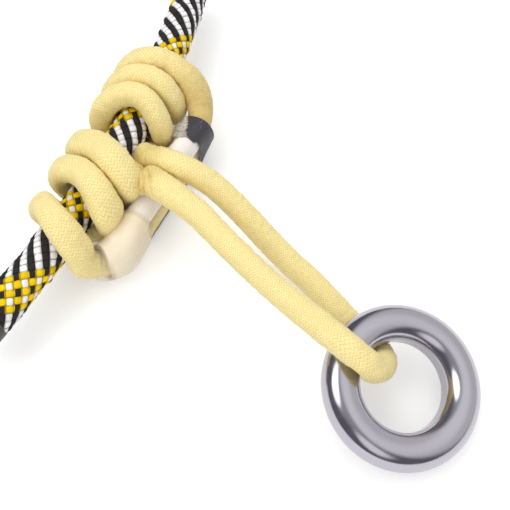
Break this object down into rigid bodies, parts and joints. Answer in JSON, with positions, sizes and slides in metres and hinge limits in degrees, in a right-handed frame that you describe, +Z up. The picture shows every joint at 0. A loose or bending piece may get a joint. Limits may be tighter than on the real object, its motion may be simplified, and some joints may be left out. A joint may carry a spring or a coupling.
{
  "type": "friction hitch ascender",
  "caption": "Sewn cord loop tied as a sliding friction hitch round a short length of braided climbing rope, with an aluminium ring held in its tail.",
  "frame": {"origin": "middle of the base of the whole part's box, on the table it lies on", "axes": "+Y up the rope, +X from the rope towards the ring, +Z up from the table"},
  "size_m": [0.1486, 0.1658, 0.0318],
  "materials": {
    "rope_sheath": "tight braid of black, white and yellow strands",
    "rope_core": "twisted white filament",
    "marker_thread": "fine coloured thread",
    "rope_seal": "melted and pressed fibre",
    "cord": "fine pale yellow aramid braid",
    "thread": "waxed sewing thread",
    "label": "plain white film",
    "backing": "dark film",
    "clear_sleeve": "clear shrink tube",
    "end_band": "charcoal shrink tube, lightly scuffed",
    "ring": "polished and anodised, pale grey-lilac"
  },
  "bodies": {
    "rope": {"rope_sheath": "rope_sheath", "rope_core_centre": "rope_core", "rope_core_1": "rope_core", "rope_core_2": "rope_core", "rope_core_3": "rope_core", "rope_core_4": "rope_core", "rope_core_5": "rope_core", "rope_core_6": "rope_core", "rope_marker_thread": "marker_thread", "rope_upper_seal": "rope_seal", "rope_lower_seal": "rope_seal"},
    "hitch": {"upper_wraps": "cord", "lower_wraps": "cord", "splice_stitching": "thread", "splice_label": "label", "splice_backing": "backing", "splice_sleeve": "clear_sleeve", "splice_end_band": "end_band"},
    "tail": {"tail_loop": "cord"},
    "ring": {"ring": "ring"}
  },
  "joints": [
    {"name": "hitch_slide", "type": "hinge", "parent": "rope", "child": "hitch", "pos_m": [-0.42823, -0.00445, 0.01435], "axis": [0, 0, 1], "range_deg": [-4, 6]},
    {"name": "tail_swing", "type": "hinge", "parent": "hitch", "child": "tail", "pos_m": [-0.03894, -0.00729, 0.02165], "axis": [0, -1, 0], "range_deg": [0, 75]},
    {"name": "ring_swing", "type": "hinge", "parent": "tail", "child": "ring", "pos_m": [0.03547, -0.04275, 0.0161], "axis": [-0.3616, -0.9323, 0], "range_deg": [-20, 55]}
  ]
}
